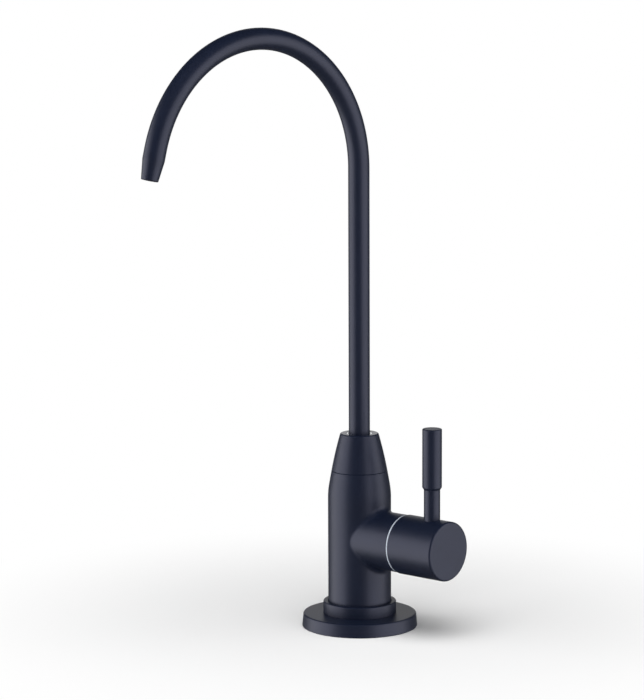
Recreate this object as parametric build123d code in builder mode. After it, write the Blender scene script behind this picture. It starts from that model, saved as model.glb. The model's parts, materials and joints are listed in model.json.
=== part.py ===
from build123d import *
import os
from math import cos, radians, sin

# Drinking-water tap for a worktop: a slim turned body with a tapered top, a round gooseneck spout
# that swivels, a quarter-turn handle on a side branch, and a threaded shank with its clamp set.
# Millimetres. The worktop's surface is z = 0, the spout swivels about Z, the handle's axis is
# parallel to +X, and -Y points to the user.

# Fits, each a gap on the radius unless it says otherwise
running_fit = 0.05
seat_fit = 0.05
thread_fit = 0.05
washer_fit = 0.1
disc_gap = 0.05  # along the axis, between the two ceramic discs
end_gap = 0.2  # along the axis, between faces that turn past each other

# Base plate, gasket and collar
flange_r = 26.0
flange_draft = 0.5
flange_h = 6.1
flange_round = 0.7
flange_lip = 4.0
gasket_t = 1.5
shank_hole_gap = 0.45
collar_wall = 2.1
collar_h = 5.5
collar_floor = 1.5
collar_gap = 0.15
collar_edge = 0.5

# Body and its tapered top
body_r = 14.2
straight_h = 51.4
shoulder_h = 6.0
shoulder_inset = 0.51
taper_h = 6.4
seam_inset = 1.65
cone_h = 16.9
cone_rim = 2.17
seam_edge = 0.2
cone_edge = 0.3
foot_edge = 0.4
cone_wall = 2.55
spigot_h = 6.6
socket_r = 7.0
socket_depth = 20.5

# Side branch and waterways
handle_axis_h = 33.5
branch_inset = 1.2
branch_len = 26.3
branch_blend = 3.0
chamber_r = 9.0
seat_x = 4.0
inlet_port_r = 2.4
seat_port_r = 2.1
outlet_port_r = 1.6
outlet_port_x = 5.3
outlet_port_sink = 1.5

# Shank
shank_r = 5.55
shank_bore_r = 2.4
shank_below = 57.0
shank_socket_depth = 12.0
shank_stop_gap = 0.5
inlet_thread_r = 5.0
inlet_thread_len = 12.0
inlet_tube_r = 3.2
shank_edge = 0.5

# Clamp set, drawn as tightened under a worktop of this thickness
worktop_t = 28.0
rubber_washer_r = 15.0
rubber_washer_t = 2.5
steel_washer_r = 14.0
steel_washer_t = 1.2
lock_washer_r = 9.5
lock_washer_band = 1.8
lock_washer_t = 1.0
lock_tooth_count = 12
lock_tooth_w = 1.5
nut_flats = 17.5
nut_h = 8.0
nut_edge = 0.7

# Spout
tube_r = 4.75
tube_wall = 1.0
spout_turn = 6.0  # degrees from -Y towards -X, as the spout stands at rest
riser_top_z = 207.4
arch_r = 59.3
arch_turn = 165.0
tip_straight = 4.3
tip_taper_len = 8.8
tip_r = 3.67
tip_edge = 0.25
plug_bottom_gap = 0.5
plug_floor = 6.5
plug_bore_r = 3.6
plug_flange_step = 1.4
plug_flange_t = 1.8
plug_groove_deep = 1.2
plug_groove_w = 1.8
plug_groove_first = 2.4
plug_groove_step = 6.0
plug_edge = 0.4
slip_washer_t = 0.8
slip_washer_inset = 0.1
tube_hole_gap = 0.6
bush_wall = 1.6
bush_h = 4.7
bush_sink = 0.1
bush_edge = 0.2
nut_relief = 0.4
plug_flange_gap = 0.3

# Cartridge
seal_t = 1.8
seal_band = 1.1
disc_r = 6.4
disc_t = 2.5
disc_fit = 0.1
disc_lug_w = 3.0
disc_lug_out = 0.9
port_inner_r = 2.6
port_outer_r = 5.2
port_half_angle = 35.0
notch_inner_r = 2.4
notch_half_angle = 40.0
stem_r = 4.0
stem_head_t = 2.5
tongue_w = 3.0
tongue_len = 8.0
tongue_t = 0.9
tongue_gap = 0.1
housing_end_gap = 0.4
housing_barrel_r = 8.0
housing_barrel_len = 11.6
window_len = 4.2
window_w = 6.0
hex_gap = 0.63
hex_t = 3.0
housing_neck_r = 6.0
housing_neck_len = 3.0
stem_seal_x = 20.0
oring_r = 0.55
big_oring_r = 0.6
housing_seal_x = 17.2
groove_side_gap = 0.1
circlip_t = 0.8
circlip_r = 5.4
circlip_deep = 0.6
circlip_opening = 5.0
circlip_gap = 0.2
circlip_fit = 0.03

# Trim ring, hub and lever
trim_ring_proud = 0.05
trim_ring_t = 0.7
trim_ring_edge = 0.15
hub_proud = 0.3
hub_len = 24.45
hub_gap = 0.25
hub_edge = 0.45
hub_rim_edge = 0.15
hub_wall = 1.7
hub_cavity_gap = 0.5
stem_in_hub = 12.7
stem_end_gap = 0.3
lever_offset = 14.85
lever_top_h = 53.95
grip_start_h = 26.7
grip_r = 4.35
grip_step_h = 1.1
grip_edge = 0.4
neck_r = 3.6
lever_seat_h = 12.0
lever_tail_r = 3.0
lever_tail_edge = 0.5
stem_flat_h = 3.2
stem_flat_len = 8.0

# Radii that follow the body and the tube
collar_r = body_r + collar_gap + collar_wall
branch_r = body_r - branch_inset
trim_ring_r = branch_r + trim_ring_proud
hub_r = branch_r + hub_proud
hub_cavity_r = hub_r - hub_wall
hex_flats = (hub_cavity_r - hex_gap) * 3**0.5
seam_r = body_r - seam_inset
spigot_r = seam_r - cone_wall
plug_flange_r = spigot_r - plug_flange_step
slip_washer_r = plug_flange_r - slip_washer_inset
bush_r = tube_r + running_fit + bush_wall
cone_top_r = bush_r + cone_rim

# Heights above the worktop
body_z = flange_h + collar_floor
axis_z = body_z + handle_axis_h
shoulder_z = body_z + straight_h
shoulder_top_z = shoulder_z + shoulder_h
seam_z = shoulder_top_z + taper_h
cone_top_z = seam_z + cone_h
spigot_z = seam_z + spigot_h
socket_z = spigot_z - socket_depth
shank_socket_z = body_z + shank_socket_depth

# Heights in the spout's joint
plug_z = socket_z + plug_bottom_gap
tube_foot_z = plug_z + plug_floor
plug_flange_z = spigot_z + end_gap
slip_washer_z = plug_flange_z + plug_flange_t
ledge_z = slip_washer_z + slip_washer_t + end_gap
bush_z = cone_top_z - bush_sink - bush_h
plug_r = socket_r - running_fit

# Places along the handle's axis
disc_x = seat_x + seal_t
moving_disc_x = disc_x + disc_t + disc_gap
stem_head_x = moving_disc_x + disc_t
stem_shaft_x = stem_head_x + stem_head_t
housing_x = seat_x + housing_end_gap
housing_bore_end_x = stem_shaft_x + end_gap
housing_thread_x = housing_x + housing_barrel_len
trim_ring_end_x = branch_len + trim_ring_t
hex_end_x = trim_ring_end_x + hex_t
neck_end_x = hex_end_x + housing_neck_len
circlip_x = neck_end_x + circlip_gap
cavity_x = circlip_x + circlip_t + hub_cavity_gap
hub_x = trim_ring_end_x + hub_gap
hub_end_x = hub_x + hub_len
stem_end_x = cavity_x + stem_in_hub
lever_x = hub_x + lever_offset
disc_bore_r = disc_r + disc_fit
housing_thread_r = chamber_r - thread_fit

# Worktop side, downwards
shank_step_z = inlet_thread_len - shank_below
rubber_washer_z = -worktop_t - rubber_washer_t
steel_washer_z = rubber_washer_z - steel_washer_t
lock_washer_z = steel_washer_z - lock_washer_t
nut_z = lock_washer_z - nut_h
washer_bore_r = shank_r + washer_fit

handle_axis = Axis((0, 0, axis_z), (1, 0, 0))
lever_axis = Axis((lever_x, 0, 0), (0, 0, 1))
spout_away = (-sin(radians(spout_turn)), -cos(radians(spout_turn)), 0)
spout_side = (-cos(radians(spout_turn)), sin(radians(spout_turn)), 0)
spout_plane = Plane(origin=(0, 0, 0), x_dir=spout_away, z_dir=spout_side)

# The body's shoulder, its taper and the cone nut's side are three arcs, each tangent to the last
shoulder_arc = TangentArc(
    (body_r, shoulder_z), (body_r - shoulder_inset, shoulder_top_z), tangent=(0, 1)
)
taper_arc = TangentArc(
    shoulder_arc @ 1, (seam_r, seam_z), tangent=shoulder_arc % 1
)
cone_arc = TangentArc(
    taper_arc @ 1, (cone_top_r, cone_top_z), tangent=taper_arc % 1
)


def across(x):
    """Plane square to the handle's axis at x, with its origin on that axis."""
    return Plane(origin=(x, 0, axis_z), x_dir=(0, 1, 0), z_dir=(1, 0, 0))


def about_handle(*points):
    """Points given as (x, radius about the handle's axis), for a profile on the XZ plane."""
    return [(x, axis_z + radius) for x, radius in points]


def about_lever(*points):
    """Points given as (radius, height over the handle's axis), for a profile on the XZ plane."""
    return [(lever_x + radius, axis_z + height) for radius, height in points]


def ring(outer_r, inner_r):
    """Two circles in the open sketch."""
    Circle(outer_r)
    Circle(inner_r, mode=Mode.SUBTRACT)


def sector(inner_r, outer_r, middle, half_angle, mode):
    """Part of a ring in the open sketch, centred on the angle called middle."""
    with BuildLine() as outline:
        inner = CenterArc((0, 0), inner_r, middle - half_angle, 2 * half_angle)
        outer = CenterArc((0, 0), outer_r, middle - half_angle, 2 * half_angle)
        Line(inner @ 0, outer @ 0)
        Line(inner @ 1, outer @ 1)
    make_face(outline.edges(), mode=mode)


os.makedirs("parts", exist_ok=True)

# Base plate: a low drafted disc with a rounded rim and a recess for the gasket
gasket_recess_r = flange_r - flange_lip
flange_hole_r = shank_r + shank_hole_gap
with BuildPart() as base_flange:
    with BuildSketch(Plane.XZ):
        with BuildLine():
            Polyline(
                (gasket_recess_r, 0),
                (flange_r, 0),
                (flange_r - flange_draft, flange_h),
                (flange_hole_r, flange_h),
                (flange_hole_r, gasket_t),
                (gasket_recess_r, gasket_t),
                close=True,
            )
        make_face()
    revolve(axis=Axis.Z)
    rim = base_flange.edges().group_by(Axis.Z)[-1].sort_by(SortBy.RADIUS)[-1]
    fillet(rim, flange_round)
base_flange.part.label = "base_flange"
export_step(base_flange.part, "parts/base_flange.step")

# Gasket, flush with the plate's rim
with BuildPart() as deck_gasket:
    with BuildSketch(Plane.XY):
        ring(gasket_recess_r - washer_fit, flange_hole_r)
    extrude(amount=gasket_t)
deck_gasket.part.label = "deck_gasket"
export_step(deck_gasket.part, "parts/deck_gasket.step")

# Collar: a shallow cup that centres the body's foot on the plate
with BuildPart() as base_collar:
    with BuildSketch(Plane.XY.offset(flange_h)):
        ring(collar_r, flange_hole_r)
    extrude(amount=collar_h)
    with BuildSketch(Plane.XY.offset(body_z)):
        Circle(body_r + collar_gap)
    extrude(amount=collar_h - collar_floor, mode=Mode.SUBTRACT)
    collar_rim = base_collar.edges().group_by(Axis.Z)[-1].sort_by(SortBy.RADIUS)[-1]
    fillet(collar_rim, collar_edge)
base_collar.part.label = "base_collar"
export_step(base_collar.part, "parts/base_collar.step")

# Valve body: turned outside, with the side branch blended in, and its drilled waterways
with BuildPart() as valve_body:
    with BuildSketch(Plane.YZ):
        with BuildLine():
            Line((0, body_z), (body_r, body_z))
            Line((body_r, body_z), (body_r, shoulder_z))
            add(shoulder_arc)
            add(taper_arc)
            Polyline(
                (seam_r, seam_z),
                (spigot_r, seam_z),
                (spigot_r, spigot_z),
                (0, spigot_z),
                (0, body_z),
            )
        make_face()
    revolve(axis=Axis.Z)
    foot = valve_body.edges().group_by(Axis.Z)[0]
    chamfer(foot, foot_edge)
    seam_rims = valve_body.edges().filter_by_position(
        Axis.Z, seam_z - seam_edge, seam_z + seam_edge
    )
    chamfer(seam_rims.sort_by(SortBy.RADIUS)[-1], seam_edge)

    with BuildSketch(across(0)):
        Circle(branch_r)
    extrude(amount=branch_len)
    blend = [
        edge
        for edge in valve_body.edges()
        if edge.geom_type not in (GeomType.LINE, GeomType.CIRCLE)
        and edge.center().X > 0
        and abs(edge.center().Z - axis_z) < branch_r
    ]
    fillet(blend, branch_blend)

    with BuildSketch(across(seat_x)):
        Circle(chamber_r)
    extrude(amount=branch_len - seat_x, mode=Mode.SUBTRACT)
    with BuildSketch(Plane.XY.offset(socket_z)):
        Circle(socket_r)
    extrude(amount=spigot_z - socket_z, mode=Mode.SUBTRACT)
    with BuildSketch(Plane.XY.offset(body_z)):
        Circle(shank_r + thread_fit)
    extrude(amount=shank_socket_depth, mode=Mode.SUBTRACT)
    with BuildSketch(Plane.XY.offset(shank_socket_z)):
        Circle(inlet_port_r)
    extrude(amount=axis_z + inlet_port_r - shank_socket_z, mode=Mode.SUBTRACT)
    with BuildSketch(across(0)):
        Circle(seat_port_r)
    extrude(amount=seat_x, mode=Mode.SUBTRACT)
    outlet_start_z = axis_z + chamber_r - outlet_port_sink
    with BuildSketch(Plane.XY.offset(outlet_start_z)):
        with Locations((outlet_port_x, 0)):
            Circle(outlet_port_r)
    extrude(amount=socket_z - outlet_start_z, mode=Mode.SUBTRACT)
valve_body.part.label = "valve_body"
export_step(valve_body.part, "parts/valve_body.step")

# Shank: hollow threaded stud. Its foot has a smaller thread and a push-in seat for the supply tube
with BuildPart() as threaded_shank:
    with BuildSketch(Plane.XY.offset(-shank_below)):
        Circle(inlet_thread_r)
    extrude(amount=inlet_thread_len)
    with BuildSketch(Plane.XY.offset(shank_step_z)):
        Circle(shank_r)
    extrude(amount=shank_socket_z - shank_stop_gap - shank_step_z)
    shank_ends = threaded_shank.edges().filter_by(GeomType.CIRCLE)
    chamfer([shank_ends.sort_by(Axis.Z)[0], shank_ends.sort_by(Axis.Z)[-1]], shank_edge)
    with BuildSketch(Plane.XY.offset(-shank_below)):
        Circle(shank_bore_r)
    extrude(amount=shank_below + shank_socket_z, mode=Mode.SUBTRACT)
    with BuildSketch(Plane.XY.offset(-shank_below)):
        Circle(inlet_tube_r)
    extrude(amount=inlet_thread_len, mode=Mode.SUBTRACT)
threaded_shank.part.label = "threaded_shank"
export_step(threaded_shank.part, "parts/threaded_shank.step")

# Cone nut: screws on the body's spigot, traps the spout's flange and carries the bush
tube_hole_r = tube_r + tube_hole_gap
bush_seat_r = bush_r + seat_fit
nut_bore_r = spigot_r + thread_fit
relief_z = spigot_z + nut_relief
plug_flange_bore_r = plug_flange_r + plug_flange_gap
with BuildPart() as cone_nut:
    with BuildSketch(Plane.XZ):
        with BuildLine():
            add(cone_arc)
            Polyline(
                (cone_top_r, cone_top_z),
                (bush_seat_r, cone_top_z),
                (bush_seat_r, bush_z),
                (tube_hole_r, bush_z),
                (tube_hole_r, ledge_z),
                (plug_flange_bore_r, ledge_z),
                (plug_flange_bore_r, relief_z),
                (nut_bore_r, relief_z),
                (nut_bore_r, seam_z),
                (seam_r, seam_z),
            )
        make_face()
    revolve(axis=Axis.Z)
    cone_rims = cone_nut.edges().filter_by(GeomType.CIRCLE)
    chamfer(cone_rims.group_by(Axis.Z)[0].sort_by(SortBy.RADIUS)[-1], seam_edge)
    cone_rims = cone_nut.edges().filter_by(GeomType.CIRCLE)
    fillet(cone_rims.group_by(Axis.Z)[-1].sort_by(SortBy.RADIUS)[-1], cone_edge)
cone_nut.part.label = "cone_nut"
export_step(cone_nut.part, "parts/cone_nut.step")

# Bush: the bright ring in which the tube turns
with BuildPart() as spout_bush:
    with BuildSketch(Plane.XY.offset(bush_z)):
        ring(bush_r, tube_r + running_fit)
    extrude(amount=bush_h)
    bush_rims = spout_bush.edges().group_by(Axis.Z)[-1]
    chamfer(bush_rims, bush_edge)
spout_bush.part.label = "spout_bush"
export_step(spout_bush.part, "parts/spout_bush.step")

# Spout tube: straight riser, one round bend past the half turn, and a tapered tip
tube_bore_r = tube_r - tube_wall
with BuildPart() as spout_tube:
    with BuildLine(spout_plane) as spout_path:
        riser = Line((0, tube_foot_z), (0, riser_top_z))
        bend = JernArc(riser @ 1, riser % 1, arch_r, -arch_turn)
        run_out = Line(bend @ 1, bend @ 1 + (bend % 1) * tip_straight)
    with BuildSketch(Plane.XY.offset(tube_foot_z)):
        ring(tube_r, tube_bore_r)
    sweep(path=spout_path.line)
    tip_plane = Plane(origin=run_out @ 1, z_dir=run_out % 1)
    tip_section = Plane(
        origin=(run_out @ 1) + (run_out % 1) * tip_taper_len, z_dir=run_out % 1
    )
    with BuildSketch(tip_plane):
        Circle(tube_r)
    with BuildSketch(tip_section):
        Circle(tip_r)
    loft()
    tip_rim = spout_tube.edges().filter_by(GeomType.CIRCLE).sort_by(SortBy.RADIUS)
    fillet(
        [e for e in tip_rim if abs(e.radius - tip_r) < tip_edge], tip_edge
    )
    with BuildSketch(tip_plane):
        Circle(tube_bore_r)
    with BuildSketch(tip_section):
        Circle(tip_r - tube_wall)
    loft(mode=Mode.SUBTRACT)
spout_tube.part.label = "spout_tube"
export_step(spout_tube.part, "parts/spout_tube.step")

# Spout plug: brazed on the tube's foot, sealed in the body's socket, trapped by its flange
plug_groove_r = plug_r - plug_groove_deep
plug_groove_z = [
    plug_z + plug_groove_first,
    plug_z + plug_groove_first + plug_groove_step,
]
with BuildPart() as spout_plug:
    with BuildSketch(Plane.XY.offset(plug_z)):
        Circle(plug_r)
    extrude(amount=plug_flange_z - plug_z)
    chamfer(spout_plug.edges().group_by(Axis.Z)[0], plug_edge)
    with BuildSketch(Plane.XY.offset(plug_flange_z)):
        Circle(plug_flange_r)
    extrude(amount=plug_flange_t)
    with BuildSketch(Plane.XY.offset(tube_foot_z)):
        Circle(tube_r + seat_fit)
    extrude(amount=slip_washer_z - tube_foot_z, mode=Mode.SUBTRACT)
    with BuildSketch(Plane.XY.offset(plug_z)):
        Circle(plug_bore_r)
    extrude(amount=plug_floor, mode=Mode.SUBTRACT)
    for groove_z in plug_groove_z:
        with BuildSketch(Plane.XY.offset(groove_z)):
            ring(plug_r + running_fit, plug_groove_r)
        extrude(amount=plug_groove_w, mode=Mode.SUBTRACT)
spout_plug.part.label = "spout_plug"
export_step(spout_plug.part, "parts/spout_plug.step")

# O-rings of the spout
with BuildPart() as spout_oring_lower:
    with BuildSketch(Plane.XZ):
        with Locations((plug_r - big_oring_r, plug_groove_z[0] + plug_groove_w / 2)):
            Circle(big_oring_r)
    revolve(axis=Axis.Z)
spout_oring_lower.part.label = "spout_oring_lower"
export_step(spout_oring_lower.part, "parts/spout_oring_lower.step")

with BuildPart() as spout_oring_upper:
    with BuildSketch(Plane.XZ):
        with Locations((plug_r - big_oring_r, plug_groove_z[1] + plug_groove_w / 2)):
            Circle(big_oring_r)
    revolve(axis=Axis.Z)
spout_oring_upper.part.label = "spout_oring_upper"
export_step(spout_oring_upper.part, "parts/spout_oring_upper.step")

# Slip washer between the spout's flange and the nut's ledge
with BuildPart() as slip_washer:
    with BuildSketch(Plane.XY.offset(slip_washer_z)):
        ring(slip_washer_r, tube_r + washer_fit)
    extrude(amount=slip_washer_t)
slip_washer.part.label = "slip_washer"
export_step(slip_washer.part, "parts/slip_washer.step")

# Trim ring between the branch and the hub
with BuildPart() as trim_ring:
    with BuildSketch(across(branch_len)):
        ring(trim_ring_r, housing_thread_r + washer_fit)
    extrude(amount=trim_ring_t)
    trim_rims = trim_ring.edges().filter_by(GeomType.CIRCLE).sort_by(SortBy.RADIUS)[-2:]
    chamfer(trim_rims, trim_ring_edge)
trim_ring.part.label = "trim_ring"
export_step(trim_ring.part, "parts/trim_ring.step")

# Cartridge housing: slotted and windowed barrel, screwed part, hexagon and neck
stem_bore_r = stem_r + running_fit
big_groove_r = housing_thread_r - 2 * big_oring_r
with BuildPart() as cartridge_housing:
    with BuildSketch(Plane.XZ):
        with BuildLine():
            Polyline(
                *about_handle(
                    (housing_x, disc_bore_r),
                    (housing_x, housing_barrel_r),
                    (housing_thread_x, housing_barrel_r),
                    (housing_thread_x, housing_thread_r),
                    (trim_ring_end_x, housing_thread_r),
                    (trim_ring_end_x, housing_neck_r),
                    (neck_end_x, housing_neck_r),
                    (neck_end_x, stem_bore_r),
                    (housing_bore_end_x, stem_bore_r),
                    (housing_bore_end_x, disc_bore_r),
                ),
                close=True,
            )
        make_face()
    revolve(axis=handle_axis)
    with BuildSketch(across(trim_ring_end_x)):
        RegularPolygon(radius=hex_flats / 2, side_count=6, major_radius=False)
        Circle(stem_bore_r, mode=Mode.SUBTRACT)
    extrude(amount=hex_t)
    with BuildSketch(across(housing_seal_x)):
        ring(housing_thread_r + running_fit, big_groove_r)
    extrude(amount=2 * big_oring_r + 2 * groove_side_gap, mode=Mode.SUBTRACT)
    window_mid_x = housing_bore_end_x - window_len / 2
    with BuildSketch(Plane.XZ):
        with Locations((window_mid_x, axis_z)):
            Rectangle(window_len, window_w)
    extrude(amount=housing_barrel_r, both=True, mode=Mode.SUBTRACT)
    slot_len = disc_x + disc_t - housing_x
    with BuildSketch(across(housing_x)):
        Rectangle(disc_lug_w + 2 * disc_fit, 2 * (disc_r + disc_lug_out + disc_fit))
    extrude(amount=slot_len, mode=Mode.SUBTRACT)
cartridge_housing.part.label = "cartridge_housing"
export_step(cartridge_housing.part, "parts/cartridge_housing.step")

# O-ring that seals the housing in the branch
with BuildPart() as housing_oring:
    with BuildSketch(Plane.XZ):
        with Locations(
            *about_handle(
                (
                    housing_seal_x + big_oring_r + groove_side_gap,
                    housing_thread_r - big_oring_r,
                )
            )
        ):
            Circle(big_oring_r)
    revolve(axis=handle_axis)
housing_oring.part.label = "housing_oring"
export_step(housing_oring.part, "parts/housing_oring.step")

# Seat seal, pressed between the branch's floor and the fixed disc
with BuildPart() as cartridge_seal:
    with BuildSketch(across(seat_x)):
        ring(disc_r, disc_r - seal_band)
    extrude(amount=seal_t)
cartridge_seal.part.label = "cartridge_seal"
export_step(cartridge_seal.part, "parts/cartridge_seal.step")

# Fixed ceramic disc: two ports, and two lugs that key it in the housing's slots
with BuildPart() as fixed_disc:
    with BuildSketch(across(disc_x)):
        Circle(disc_r)
        Rectangle(disc_lug_w, 2 * (disc_r + disc_lug_out))
        for middle in (0, 180):
            sector(port_inner_r, port_outer_r, middle, port_half_angle, Mode.SUBTRACT)
    extrude(amount=disc_t)
fixed_disc.part.label = "fixed_disc"
export_step(fixed_disc.part, "parts/fixed_disc.step")

# Moving ceramic disc: two open notches, a quarter turn from the ports while closed
with BuildPart() as moving_disc:
    with BuildSketch(across(moving_disc_x)):
        Circle(disc_r)
        for middle in (90, 270):
            sector(notch_inner_r, 2 * disc_r, middle, notch_half_angle, Mode.SUBTRACT)
    extrude(amount=disc_t)
    with BuildSketch(across(stem_head_x)):
        Rectangle(tongue_len + 2 * tongue_gap, tongue_w + 2 * tongue_gap)
    extrude(amount=-(tongue_t + tongue_gap), mode=Mode.SUBTRACT)
moving_disc.part.label = "moving_disc"
export_step(moving_disc.part, "parts/moving_disc.step")

# Valve stem: head with its tongue, seal groove, circlip groove and the flat for the lever
stem_groove_r = stem_r - 2 * oring_r
circlip_groove_r = stem_r - circlip_deep
stem_groove_w = 2 * oring_r + 2 * groove_side_gap
with BuildPart() as valve_stem:
    with BuildSketch(Plane.XZ):
        with BuildLine():
            Polyline(
                *about_handle(
                    (stem_head_x, 0),
                    (stem_head_x, disc_r),
                    (stem_shaft_x, disc_r),
                    (stem_shaft_x, stem_r),
                    (stem_seal_x, stem_r),
                    (stem_seal_x, stem_groove_r),
                    (stem_seal_x + stem_groove_w, stem_groove_r),
                    (stem_seal_x + stem_groove_w, stem_r),
                    (circlip_x, stem_r),
                    (circlip_x, circlip_groove_r),
                    (circlip_x + circlip_t, circlip_groove_r),
                    (circlip_x + circlip_t, stem_r),
                    (stem_end_x, stem_r),
                    (stem_end_x, 0),
                ),
                close=True,
            )
        make_face()
    revolve(axis=handle_axis)
    with BuildSketch(across(stem_head_x)):
        Rectangle(tongue_len, tongue_w)
    extrude(amount=-tongue_t)
    with BuildSketch(Plane.XY.offset(axis_z + stem_flat_h)):
        with Locations((lever_x, 0)):
            Rectangle(stem_flat_len, 2 * stem_r)
    extrude(amount=stem_r, mode=Mode.SUBTRACT)
valve_stem.part.label = "valve_stem"
export_step(valve_stem.part, "parts/valve_stem.step")

# O-ring on the stem
with BuildPart() as stem_oring:
    with BuildSketch(Plane.XZ):
        with Locations(
            *about_handle((stem_seal_x + stem_groove_w / 2, stem_r - oring_r))
        ):
            Circle(oring_r)
    revolve(axis=handle_axis)
stem_oring.part.label = "stem_oring"
export_step(stem_oring.part, "parts/stem_oring.step")

# Circlip: keeps the stem from sliding in
with BuildPart() as stem_circlip:
    with BuildSketch(across(circlip_x)):
        ring(circlip_r, circlip_groove_r + circlip_fit)
        with Locations((0, -circlip_r)):
            Rectangle(circlip_opening, 2 * circlip_r, mode=Mode.SUBTRACT)
    extrude(amount=circlip_t)
stem_circlip.part.label = "stem_circlip"
export_step(stem_circlip.part, "parts/stem_circlip.step")

# Hub: a cup over the cartridge's hexagon, bored for the stem and drilled for the lever
hub_bore_r = stem_r + seat_fit
with BuildPart() as handle_hub:
    with BuildSketch(Plane.XZ):
        with BuildLine():
            Polyline(
                *about_handle(
                    (hub_x, hub_cavity_r),
                    (hub_x, hub_r),
                    (hub_end_x, hub_r),
                    (hub_end_x, 0),
                    (stem_end_x + stem_end_gap, 0),
                    (stem_end_x + stem_end_gap, hub_bore_r),
                    (cavity_x, hub_bore_r),
                    (cavity_x, hub_cavity_r),
                ),
                close=True,
            )
        make_face()
    revolve(axis=handle_axis)
    hub_rims = handle_hub.edges().filter_by(GeomType.CIRCLE).sort_by(Axis.X)
    chamfer(hub_rims[-1], hub_edge)
    hub_rims = handle_hub.edges().filter_by(GeomType.CIRCLE)
    chamfer(hub_rims.group_by(Axis.X)[0].sort_by(SortBy.RADIUS)[-1], hub_rim_edge)
    with BuildSketch(Plane.XY.offset(axis_z)):
        with Locations((lever_x, 0)):
            Circle(lever_tail_r + thread_fit)
    extrude(amount=hub_r, mode=Mode.SUBTRACT)
    with BuildSketch(Plane.XY.offset(axis_z + lever_seat_h)):
        with Locations((lever_x, 0)):
            Circle(neck_r + seat_fit)
    extrude(amount=hub_r, mode=Mode.SUBTRACT)
handle_hub.part.label = "handle_hub"
export_step(handle_hub.part, "parts/handle_hub.step")

# Lever: one turned bar with a threaded tail, a slim neck and a thicker grip
with BuildPart() as lever:
    with BuildSketch(Plane.XZ):
        with BuildLine():
            Polyline(
                *about_lever(
                    (0, stem_flat_h),
                    (lever_tail_r - lever_tail_edge, stem_flat_h),
                    (lever_tail_r, stem_flat_h + lever_tail_edge),
                    (lever_tail_r, lever_seat_h),
                    (neck_r, lever_seat_h),
                    (neck_r, grip_start_h),
                    (grip_r, grip_start_h + grip_step_h),
                    (grip_r, lever_top_h - grip_edge),
                    (grip_r - grip_edge, lever_top_h),
                    (0, lever_top_h),
                ),
                close=True,
            )
        make_face()
    revolve(axis=lever_axis)
lever.part.label = "lever"
export_step(lever.part, "parts/lever.step")

# Clamp set under the worktop
with BuildPart() as rubber_washer:
    with BuildSketch(Plane.XY.offset(rubber_washer_z)):
        ring(rubber_washer_r, washer_bore_r)
    extrude(amount=rubber_washer_t)
rubber_washer.part.label = "rubber_washer"
export_step(rubber_washer.part, "parts/rubber_washer.step")

with BuildPart() as steel_washer:
    with BuildSketch(Plane.XY.offset(steel_washer_z)):
        ring(steel_washer_r, washer_bore_r)
    extrude(amount=steel_washer_t)
steel_washer.part.label = "steel_washer"
export_step(steel_washer.part, "parts/steel_washer.step")

# Lock washer: a band with teeth that point in to the shank
tooth_reach = lock_washer_r - lock_washer_band / 2 - washer_bore_r
with BuildPart() as lock_washer:
    with BuildSketch(Plane.XY.offset(lock_washer_z)):
        ring(lock_washer_r, lock_washer_r - lock_washer_band)
        with PolarLocations(washer_bore_r + tooth_reach / 2, lock_tooth_count):
            Rectangle(tooth_reach, lock_tooth_w)
    extrude(amount=lock_washer_t)
lock_washer.part.label = "lock_washer"
export_step(lock_washer.part, "parts/lock_washer.step")

# Nut: hexagon with its corners turned off at both ends
nut_corner_r = nut_flats / 3**0.5
with BuildPart() as clamp_nut:
    with BuildSketch(Plane.XY.offset(nut_z)):
        RegularPolygon(radius=nut_flats / 2, side_count=6, major_radius=False)
    extrude(amount=nut_h)
    with BuildSketch(Plane.XZ):
        with BuildLine():
            Polyline(
                (0, nut_z),
                (nut_flats / 2, nut_z),
                (nut_corner_r, nut_z + nut_edge),
                (nut_corner_r, nut_z + nut_h - nut_edge),
                (nut_flats / 2, nut_z + nut_h),
                (0, nut_z + nut_h),
                close=True,
            )
        make_face()
    revolve(axis=Axis.Z, mode=Mode.INTERSECT)
    with BuildSketch(Plane.XY.offset(nut_z)):
        Circle(shank_r + thread_fit)
    extrude(amount=nut_h, mode=Mode.SUBTRACT)
clamp_nut.part.label = "clamp_nut"
export_step(clamp_nut.part, "parts/clamp_nut.step")
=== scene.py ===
import json
from math import atan2, cos, pi, radians, sin, sqrt, tan

import bmesh
import bpy
from mathutils import Matrix, Vector


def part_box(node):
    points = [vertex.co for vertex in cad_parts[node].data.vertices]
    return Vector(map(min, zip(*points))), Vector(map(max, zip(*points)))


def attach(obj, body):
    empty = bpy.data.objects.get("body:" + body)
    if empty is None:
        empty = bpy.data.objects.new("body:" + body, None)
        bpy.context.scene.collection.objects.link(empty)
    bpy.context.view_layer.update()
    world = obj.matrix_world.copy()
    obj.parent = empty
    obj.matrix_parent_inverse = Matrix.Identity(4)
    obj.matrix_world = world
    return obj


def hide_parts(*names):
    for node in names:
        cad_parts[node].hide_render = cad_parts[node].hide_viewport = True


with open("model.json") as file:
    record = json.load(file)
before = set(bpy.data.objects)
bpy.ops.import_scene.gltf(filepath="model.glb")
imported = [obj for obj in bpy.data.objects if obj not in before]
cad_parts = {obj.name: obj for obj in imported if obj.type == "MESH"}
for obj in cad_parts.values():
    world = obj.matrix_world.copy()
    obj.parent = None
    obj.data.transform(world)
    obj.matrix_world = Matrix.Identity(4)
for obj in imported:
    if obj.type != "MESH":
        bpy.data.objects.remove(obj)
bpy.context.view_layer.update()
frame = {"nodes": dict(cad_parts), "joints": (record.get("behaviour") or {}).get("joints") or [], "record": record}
mm = 0.001
seamGap = 0.0005    # in millimetres: points of a turned mesh that are closer are merged
print("frame loaded:", len(frame["nodes"]), "nodes")


# Places that the frame gives, in millimetres
def measured(node):
    low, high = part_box(node)
    return low / mm, high / mm


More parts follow.
